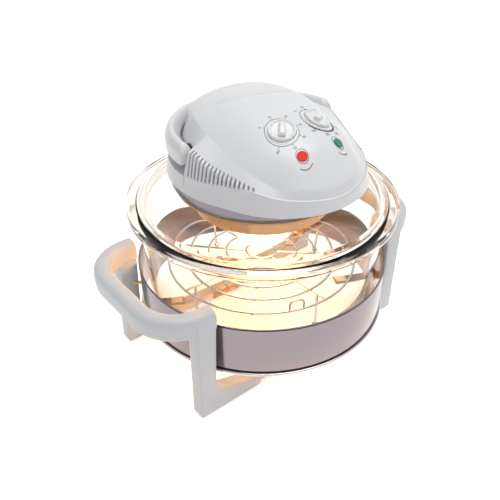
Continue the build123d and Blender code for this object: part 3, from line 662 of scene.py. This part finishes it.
def head_spoke(degrees, in_slot):
    """(radius, height) rows of the head's outer skin along one ray, from its bottom edge to its crown."""
    flank = 90.0 - abs((degrees + 90.0) % 360.0 - 180.0)  # 90 at the rear, -90 at the nose
    across, forward = math.cos(math.radians(degrees)), math.sin(math.radians(degrees))
    low = egg_radius(degrees, SKIRT_REAR, SKIRT_NOSE, SKIRT_NOSE_Y)
    rows = [(low - HEAD_WALL, HEAD_BOTTOM), (low - 0.7, HEAD_BOTTOM), (low, HEAD_BOTTOM + 0.7)]
    if flank > RECESS_START:
        floor, skirt, core = RECESS_FLOOR, RECESS_SKIRT, RECESS_RADIUS
        inside = [(skirt - 4.0, floor - 5.0), (core - HEAD_WALL, floor - 3.0), (CORE_EDGE - 4.0, floor + 15.0)]
        rim = panel_reach(degrees, CORE_EDGE - 4.0)
        edge_height = smooth(CORE_EDGE_HEIGHTS, flank)[0]
        rim_height = roof_height(rim * across, rim * forward)
        rows += [(low + (skirt - low) * f, HEAD_BOTTOM + (floor - HEAD_BOTTOM) * f) for f in (0.5, 0.92)]
        rows += [(skirt, floor - 0.8), (skirt - 0.3, floor - 0.25), (skirt - 1.2, floor)]
        rows += [(core + 0.6, floor), (core, floor + 0.6)]
        rows += [(CORE_EDGE, edge_height - 1.5), (CORE_EDGE - 0.3, edge_height - 0.5)]
        for share in (0.08, 0.5, 0.9, 0.97, 1.0):
            rows.append((CORE_EDGE + (rim - CORE_EDGE) * share, edge_height + (rim_height - edge_height) * share))
    else:
        shoulder = egg_radius(degrees, SHOULDER_REAR, SHOULDER_NOSE, SHOULDER_NOSE_Y)
        height = smooth(SHOULDER_HEIGHTS, shoulder * forward)[0]
        rim = min(panel_reach(degrees, 140.0), shoulder - VENT_DEPTH - 1.6)
        rim_height = roof_height(rim * across, rim * forward)
        slot_bottom = min(smooth(VENT_BOTTOMS, -flank)[0], height - 1.6)
        inside = [(low - 4.0, HEAD_BOTTOM + 12.0), (shoulder - VENT_DEPTH - 2.0, slot_bottom - 3.0)]
        inside.append((shoulder - VENT_DEPTH - 2.0, min(slot_bottom + 3.0, height - 3.0)))
        lean = (shoulder - low) / (height - HEAD_BOTTOM)

        def on_skirt(at):
            return (low + lean * (at - HEAD_BOTTOM), at)

        def on_ledge(radius):
            share = (shoulder - LIP - radius) / (shoulder - LIP - rim)
            return (radius, height + (rim_height - height) * share)

        inner = shoulder - VENT_DEPTH
        rows.append(on_skirt(slot_bottom - 0.25))
        if in_slot:
            floor_top = on_ledge(inner)[1] - 0.4
            for step in range(8):
                rows.append((inner, slot_bottom + (floor_top - slot_bottom) * step / 7))
        else:
            rows += [on_skirt(slot_bottom + 0.25), on_skirt(height - LIP)]
            for turn in (18, 36, 54, 72, 90):
                bend = math.radians(turn)
                rows.append((shoulder - LIP * (1 - math.cos(bend)), height - LIP * (1 - math.sin(bend))))
            rows.append(on_ledge(inner + 0.3))
        rows += [on_ledge(inner - 0.3), on_ledge(inner - 0.8), on_ledge(rim + 1.0), on_ledge(rim + 0.3)]
        rows.append((rim, rim_height))
    shares = (0.98, 0.95, 0.91, 0.86, 0.8, 0.73, 0.65, 0.56, 0.46, 0.35, 0.24, 0.12, 0.0)
    for share in shares:
        rows.append((rim * share, roof_height(rim * share * across, rim * share * forward)))
    ceiling = []
    for share in (0.0, 0.3, 0.6, 0.8, 0.93):
        height = roof_height(rim * share * across, rim * share * forward)
        ceiling.append((rim * share * 0.97, height - HEAD_WALL))
    return ceiling + inside[::-1] + rows


def make_head(finishes):
    """Upper housing: skirt, vents, shoulder, handle recess and the raised control panel."""
    spokes = head_angles()
    rows = [head_spoke(*spoke) for spoke in spokes]
    bm = bmesh.new()
    spoke_of = bm.verts.layers.int.new("spoke")
    ring = bmesh.ops.create_circle(bm, cap_ends=False, radius=1.0, segments=len(spokes))["verts"]
    rays = [Vector((math.cos(math.radians(a)), math.sin(math.radians(a)), 0)) for a, _ in spokes]
    for index, vert in enumerate(ring):
        vert[spoke_of] = index
    edges = bm.edges[:]
    lengths = {len(row) for row in rows}
    if len(lengths) != 1:
        raise RuntimeError(f"head spokes have different numbers of rows: {lengths}")
    for level in range(lengths.pop()):
        if level:
            made = bmesh.ops.extrude_edge_only(bm, edges=edges)["geom"]
            edges = only(bmesh.types.BMEdge, made)
            ring = only(bmesh.types.BMVert, made)
        for vert in ring:
            radius, height = rows[vert[spoke_of]][level]
            vert.co = rays[vert[spoke_of]] * radius + Vector((0, 0, height))
    finish_piece(bm, "head_housing_moulding", "lid", "head_plastic", finishes, ["upper_housing"], crease=30)


def make_bail(finishes):
    """Carrying handle: a half ring whose two ends are rounded about their pivots."""
    bm = bmesh.new()
    near = section(bm, BAIL_SECTION)
    start = math.radians(BAIL_START)
    bmesh.ops.rotate(bm, verts=bm.verts, cent=(0, 0, 0), matrix=Matrix.Rotation(start, 3, "Z"))
    spun = bmesh.ops.spin(
        bm,
        geom=near + bm.verts[:],
        cent=(0, 0, 0),
        axis=(0, 0, 1),
        angle=math.pi - 2 * start,
        steps=96,
        use_merge=False,
    )["geom_last"]
    far = only(bmesh.types.BMEdge, spun)
    middle = (BAIL_SECTION[0][0] + BAIL_SECTION[2][0]) / 2
    steps = 14
    for end in (near, far):
        for step in range(1, steps + 1):
            made = bmesh.ops.extrude_edge_only(bm, edges=end)["geom"]
            end = only(bmesh.types.BMEdge, made)
            for vert in only(bmesh.types.BMVert, made):
                radius = vert.co.xy.length
                first = radius * math.sin(start) if step == 1 else vert.co.y
                share = math.sin(math.pi / 2 * step / steps)
                before = math.sin(math.pi / 2 * (step - 1) / steps)
                y = first + (BAIL_FRONT - first) * (share - before) / (1 - before)
                reach = min(max(PIVOT_Y - y, 0.0), BAIL_TOE)
                top = PIVOT_Z + math.sqrt(BAIL_TOE**2 - reach**2)
                into_heel = max(BAIL_HEEL - (y - BAIL_FRONT), 0.0)
                bottom = BAIL_SECTION[0][1] + BAIL_HEEL - math.sqrt(BAIL_HEEL**2 - into_heel**2)
                if step > steps - 3:
                    radius = middle + (radius - middle) * (0.985, 0.96, 0.92)[step - steps + 2]
                vert.co = (
                    math.copysign(math.sqrt(radius**2 - y**2), vert.co.x),
                    y,
                    min(max(vert.co.z, bottom), top),
                )
        bmesh.ops.holes_fill(bm, edges=end, sides=0)
    finish_piece(bm, "carrying_handle_moulding", "handle", "head_plastic", finishes, ["carrying_handle"])


# ---------------------------------------------------------------- controls
def dial_matrix(side):
    """Place of a dial: its centre on the panel, its Z along the shaft."""
    normal = Vector((DIAL_NORMAL.x * side, DIAL_NORMAL.y, DIAL_NORMAL.z)).normalized()
    across = (Vector((1, 0, 0)) - normal * normal.x).normalized()
    turn = Matrix((across, normal.cross(across), normal)).transposed()
    return Matrix.Translation((DIAL_CENTRE.x * side, DIAL_CENTRE.y, DIAL_CENTRE.z)) @ turn.to_4x4()


def make_dials(finishes):
    """The two knobs with their finger ridges, and the bezels round them."""
    for side, body, node, ridge_turn, _ in DIALS:
        place = dial_matrix(side)
        knob = turned(
            [
                (0.0, -0.4, 0),
                (KNOB_RADIUS, -0.4, 0.3),
                (KNOB_RADIUS, 3.4, 1.2),
                (KNOB_RADIUS - 1.6, 4.6, 0.7),
                (KNOB_RADIUS - 4.0, 3.0, 1.5),
                (0.0, 2.4, 0),
            ],
            steps=DIAL_STEPS,
        )
        made = bmesh.ops.create_cube(knob, size=1.0)["verts"]
        bmesh.ops.scale(knob, vec=(9.0, 20.0, KNOB_HEIGHT - 1.4), verts=made)
        bmesh.ops.translate(knob, vec=(0, 0, (KNOB_HEIGHT - 0.4 + 1.0) / 2), verts=made)
        for vert in made:
            if vert.co.z > 5:
                vert.co.x *= 0.62
                vert.co.y *= 0.9
        edges = list({edge for vert in made for edge in vert.link_edges})
        bmesh.ops.bevel(
            knob, geom=edges, offset=1.5, offset_type="OFFSET", segments=4, profile=0.5, affect="EDGES", material=-1
        )
        bmesh.ops.rotate(
            knob, verts=knob.verts, cent=(0, 0, 0), matrix=Matrix.Rotation(math.radians(ridge_turn), 3, "Z")
        )
        bmesh.ops.transform(knob, matrix=place, verts=knob.verts)
        finish_piece(knob, node + "_dish", body, "knob_plastic", finishes, [node])
        bezel = turned(
            [
                (KNOB_RADIUS + 0.5, -3.4, 0),
                (KNOB_RADIUS + 0.5, 0.9, 0.4),
                (BEZEL_RADIUS - 0.6, 0.5, 0.6),
                (BEZEL_RADIUS, -3.4, 0),
            ],
            steps=DIAL_STEPS,
        )
        bmesh.ops.transform(bezel, matrix=place, verts=bezel.verts)
        # the bezel's lighter tone is a painted highlight round the knob
        finish_piece(bezel, node + "_bezel", "lid", "head_plastic", finishes, material="bezel")


def arc_strip(bm, x, y, radius, width, start, end, lift=PRINT_LIFT):
    """Flat printed arc about a point, laid on the panel. Angles in degrees from +X."""
    low, high = math.radians(min(start, end)), math.radians(max(start, end))
    ends = []
    for reach in (radius - width / 2, radius + width / 2):
        ends.append(bm.verts.new((x + reach * math.cos(low), y + reach * math.sin(low), 0)))
    edge = bm.edges.new(ends)
    steps = max(2, round((high - low) * radius / 1.2))
    bmesh.ops.spin(
        bm, geom=[*ends, edge], cent=(x, y, 0), axis=(0, 0, 1), angle=high - low, steps=steps, use_merge=False
    )
    lay_on_panel(bm, [vert for vert in bm.verts if vert.co.z == 0], lift)


def lay_on_panel(bm, verts, lift):
    """Moves flat vertices up or down onto the panel, slightly proud of it."""
    for vert in verts:
        vert.co.z = roof_height(vert.co.x, vert.co.y) + lift


def number_mesh(bm, text, x, y, size):
    """A flat number, centred at a point, laid on the panel."""
    curve = bpy.data.curves.new("number", "FONT")
    curve.body = text
    curve.size = size
    curve.align_x = "CENTER"
    curve.align_y = "CENTER"
    curve.resolution_u = 3
    holder = bpy.data.objects.new("number", curve)
    mesh = bpy.data.meshes.new_from_object(holder)
    mesh.transform(Matrix.Translation((x, y, 0)))
    bm.from_mesh(mesh)
    bpy.data.meshes.remove(mesh)
    bpy.data.objects.remove(holder)
    bpy.data.curves.remove(curve)
    lay_on_panel(bm, [vert for vert in bm.verts if vert.co.z == 0], PRINT_LIFT)


def make_prints(finishes):
    """Numbers and plain marks on the panel, the black arc of one dial, and the pale inlay on the crown."""
    ink = bmesh.new()
    for side, _, _, _, numbers in DIALS:
        x, y = DIAL_CENTRE.x * side, DIAL_CENTRE.y
        for index, text in enumerate(numbers):
            angle = 128.0 - 268.0 * index / (len(numbers) - 1)
            arc_strip(ink, x, y, BEZEL_RADIUS + 1.9, 1.2, angle - 1.2, angle + 1.2)
            way = math.radians(angle)
            number_mesh(ink, text, x + NUMBER_REACH * math.cos(way), y + NUMBER_REACH * math.sin(way), NUMBER_SIZE)
        arc_strip(ink, x, y, BEZEL_RADIUS + 0.4, 0.6, 0.0, 360.0)
    for side, start, end in ((-1, -141.0, -58.0), (1, -126.0, -62.0)):
        arc_strip(ink, LENS_CENTRE.x * side, LENS_CENTRE.y, 11.5, 0.8, start, end)
        arc_strip(ink, LENS_CENTRE.x * side, LENS_CENTRE.y, 6.8, 0.5, 0.0, 360.0)
    finish_piece(ink, "panel_print", "lid", "head_plastic", finishes, material="print")
    dark_arcs = bmesh.new()
    # black arcs round the thermostat dial: a thick one along its front, a thin one at its rear right
    arc_strip(dark_arcs, DIAL_CENTRE.x, DIAL_CENTRE.y, BEZEL_RADIUS + 1.2, 1.7, -160.0, 0.0, DARK_ARC_LIFT)
    arc_strip(dark_arcs, DIAL_CENTRE.x, DIAL_CENTRE.y, BEZEL_RADIUS + 1.0, 0.9, 20.0, 92.0, DARK_ARC_LIFT)
    finish_piece(dark_arcs, "dial_arc_black", "lid", "head_plastic", finishes, material="dial_dark_arcs")
    inlay = bmesh.new()
    bmesh.ops.create_grid(inlay, x_segments=48, y_segments=10, size=1.0)
    for vert in inlay.verts:
        along, across = vert.co.x, vert.co.y
        x = 50.0 * along - 3.5
        y = 15.0 - 13.0 * along + 9.0 * across * (1 - along**2)
        vert.co = (x, y, roof_height(x, y) + INLAY_LIFT)
    finish_piece(inlay, "crown_inlay", "lid", "head_plastic", finishes, material="inlay")


# ---------------------------------------------------------------- carried-over nodes
def finish_nodes(finishes):
    """Gives every shown CAD node the material of its slot."""
    for part in frame["record"]["subparts"]:
        mesh = CAD_NODES[part["node"]].data
        mesh.materials.clear()
        mesh.materials.append(finishes[part["material_slot"]])


# ---------------------------------------------------------------- stage
def add_area(name, place, aim, size, power, colour):
    """Soft square light that looks from a place to a point, both in metres."""
    lamp = bpy.data.lights.new(name, "AREA")
    lamp.shape = "SQUARE"
    lamp.size = size
    lamp.energy = power
    lamp.color = linear(colour)[:3]
    holder = bpy.data.objects.new(name, lamp)
    holder.location = place
    holder.rotation_mode = "QUATERNION"
    holder.rotation_quaternion = (Vector(aim) - Vector(place)).to_track_quat("-Z", "Y")
    bpy.context.scene.collection.objects.link(holder)


def make_stage():
    """Floor, soft lights, the lamp's glow and the camera."""
    scene = bpy.context.scene
    scene.view_settings.view_transform = "Standard"
    bm = bmesh.new()
    bmesh.ops.create_grid(bm, x_segments=2, y_segments=2, size=6.0)
    mesh = bpy.data.meshes.new("floor")
    bm.to_mesh(mesh)
    bm.free()
    floor = bpy.data.objects.new("floor", mesh)
    scene.collection.objects.link(floor)
    # painted board: matt white
    board, _ = new_material("board_painted_white")
    body = add_node(
        board,
        "ShaderNodeBsdfPrincipled",
        {
            "Base Color": linear("f6f6f6"),
            "Roughness": 0.9,
            "Emission Color": linear("ffffff"),
            "Emission Strength": 0.38,
        },
    )
    mesh.materials.append(close_material(board, body.outputs["BSDF"]))

    world = bpy.data.worlds.new("studio")
    scene.world = world
    world.use_nodes = True
    world.node_tree.nodes.clear()
    direction = add_node(world, "ShaderNodeTexCoord")
    lean = add_node(
        world,
        "ShaderNodeVectorMath",
        {1: (0.30, 0.25, 0.92)},
        {0: direction.outputs["Generated"]},
        operation="DOT_PRODUCT",
    )
    ramp = add_node(world, "ShaderNodeValToRGB", links={"Fac": lean.outputs["Value"]})
    ramp.color_ramp.elements[0].position = 0.0
    ramp.color_ramp.elements[0].color = linear("b0b0b3")
    ramp.color_ramp.elements[1].position = 0.5
    ramp.color_ramp.elements[1].color = linear("ffffff")
    sky = add_node(world, "ShaderNodeBackground", {"Strength": 0.85}, {"Color": ramp.outputs["Color"]})
    add_node(world, "ShaderNodeOutputWorld", links={"Surface": sky.outputs["Background"]})

    add_area("softbox_top", (0.2, -0.25, 1.6), (0, 0, 0.15), 1.0, 13.0, "ffffff")
    add_area("softbox_left", (-1.5, 0.5, 1.0), (0, 0, 0.15), 0.8, 0.7, "f6f9ff")
    # the oven's own lamp: a disk in the reflector, and a fill in the bowl that shows through glass as a ball
    lamp = bpy.data.lights.new("lamp_glow", "AREA")
    lamp.shape = "DISK"
    lamp.size = 0.13
    lamp.energy = 0.42
    lamp.color = linear("ffc98a")[:3]
    glow = bpy.data.objects.new("lamp_glow", lamp)
    glow.location = (0, 0, 0.199)
    scene.collection.objects.link(glow)
    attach(glow, "lid")
    bulb = bpy.data.lights.new("lamp_fill", "POINT")
    bulb.shadow_soft_size = 0.04
    bulb.energy = 0.9
    bulb.color = linear("ffb468")[:3]
    fill = bpy.data.objects.new("lamp_fill", bulb)
    fill.location = (0, 0, 0.17)
    scene.collection.objects.link(fill)
    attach(fill, "lid")

    camera = bpy.data.cameras.new("camera")
    camera.lens = 43.2
    camera.sensor_width = 36.0
    camera.clip_start = 0.01
    holder = bpy.data.objects.new("camera", camera)
    holder.location = (-0.43033, -0.50715, 0.57833)
    holder.rotation_mode = "QUATERNION"
    holder.rotation_quaternion = Vector((0.5194, 0.6414, -0.5647)).to_track_quat("-Z", "Y")
    scene.collection.objects.link(holder)
    scene.camera = holder


# ---------------------------------------------------------------- add-on
class OvenSizes(bpy.types.PropertyGroup):
    """Sizes of the oven that a user would change."""

    rim_radius: FloatProperty(
        name="Rim radius",
        description="Radius of the glass rim of bowl and lid",
        default=RIM_RADIUS * MM,
        unit="LENGTH",
    )
    glass_wall: FloatProperty(
        name="Glass thickness", description="Wall of the bowl and the lid", default=GLASS * MM, unit="LENGTH"
    )
    vent_count: IntProperty(name="Vent slots", description="Vent slots on each side of the head", default=17)


class OvenColours(bpy.types.PropertyGroup):
    """Colours of the oven that a user would change."""

    head: StringProperty(name="Head", description="sRGB hex of the head's plastic", default="c8c9cb")
    head_shade: StringProperty(name="Head shade", description="Darker tone of it", default="c2c3c5")
    stand: StringProperty(name="Stand", description="sRGB hex of the stand's plastic", default="bbbcbf")
    stand_shade: StringProperty(name="Stand shade", description="Darker tone of it", default="b3b4b7")


FINISHES = {}


class OVEN_OT_stage(bpy.types.Operator):
    """Makes the floor, the lights and the camera"""

    bl_idname = "oven.stage"
    bl_label = "Stage"

    def execute(self, context):
        make_stage()
        return {"FINISHED"}


class OVEN_OT_finishes(bpy.types.Operator):
    """Makes the materials and gives them to the CAD nodes"""

    bl_idname = "oven.finishes"
    bl_label = "Finishes"

    def execute(self, context):
        FINISHES.update(make_materials())
        finish_nodes(FINISHES)
        return {"FINISHED"}


class OVEN_OT_glass(bpy.types.Operator):
    """Makes the glass bowl and lid"""

    bl_idname = "oven.glass"
    bl_label = "Glass bowl and lid"

    def execute(self, context):
        make_glass(FINISHES)
        return {"FINISHED"}


class OVEN_OT_band(bpy.types.Operator):
    """Makes the steel band"""

    bl_idname = "oven.band"
    bl_label = "Steel band"

    def execute(self, context):
        make_band(FINISHES)
        return {"FINISHED"}


class OVEN_OT_stand(bpy.types.Operator):
    """Makes the two stand mouldings"""

    bl_idname = "oven.stand"
    bl_label = "Stand mouldings"

    def execute(self, context):
        make_stand(FINISHES)
        return {"FINISHED"}


class OVEN_OT_head(bpy.types.Operator):
    """Makes the head's housing"""

    bl_idname = "oven.head"
    bl_label = "Head housing"

    def execute(self, context):
        make_head(FINISHES)
        return {"FINISHED"}


class OVEN_OT_handle(bpy.types.Operator):
    """Makes the carrying handle"""

    bl_idname = "oven.handle"
    bl_label = "Carrying handle"

    def execute(self, context):
        make_bail(FINISHES)
        return {"FINISHED"}


class OVEN_OT_dials(bpy.types.Operator):
    """Makes the two knobs and their bezels"""

    bl_idname = "oven.dials"
    bl_label = "Knobs and bezels"

    def execute(self, context):
        make_dials(FINISHES)
        return {"FINISHED"}


class OVEN_OT_prints(bpy.types.Operator):
    """Makes the marks on the panel and the inlay on the crown"""

    bl_idname = "oven.prints"
    bl_label = "Panel print"

    def execute(self, context):
        make_prints(FINISHES)
        return {"FINISHED"}


class OVEN_PT_panel(bpy.types.Panel):
    """Lists the steps that make the oven"""

    bl_idname = "OVEN_PT_panel"
    bl_label = "Halogen oven"
    bl_space_type = "VIEW_3D"
    bl_region_type = "UI"
    bl_category = "Halogen oven"

    def draw(self, context):
        for step in STEPS:
            self.layout.operator(step.bl_idname)


STEPS = [
    OVEN_OT_stage,
    OVEN_OT_finishes,
    OVEN_OT_glass,
    OVEN_OT_band,
    OVEN_OT_stand,
    OVEN_OT_head,
    OVEN_OT_handle,
    OVEN_OT_dials,
    OVEN_OT_prints,
]
CLASSES = [OvenSizes, OvenColours, *STEPS, OVEN_PT_panel]


def register():
    for cls in CLASSES:
        bpy.utils.register_class(cls)
    bpy.types.Scene.oven_sizes = PointerProperty(type=OvenSizes)
    bpy.types.Scene.oven_colours = PointerProperty(type=OvenColours)


def unregister():
    del bpy.types.Scene.oven_colours
    del bpy.types.Scene.oven_sizes
    for cls in reversed(CLASSES):
        bpy.utils.unregister_class(cls)


def main():
    register()
    bpy.ops.oven.stage()
    bpy.ops.oven.finishes()
    bpy.ops.oven.glass()
    bpy.ops.oven.band()
    bpy.ops.oven.stand()
    bpy.ops.oven.head()
    bpy.ops.oven.handle()
    bpy.ops.oven.dials()
    bpy.ops.oven.prints()


if __name__ == "__main__":
    main()
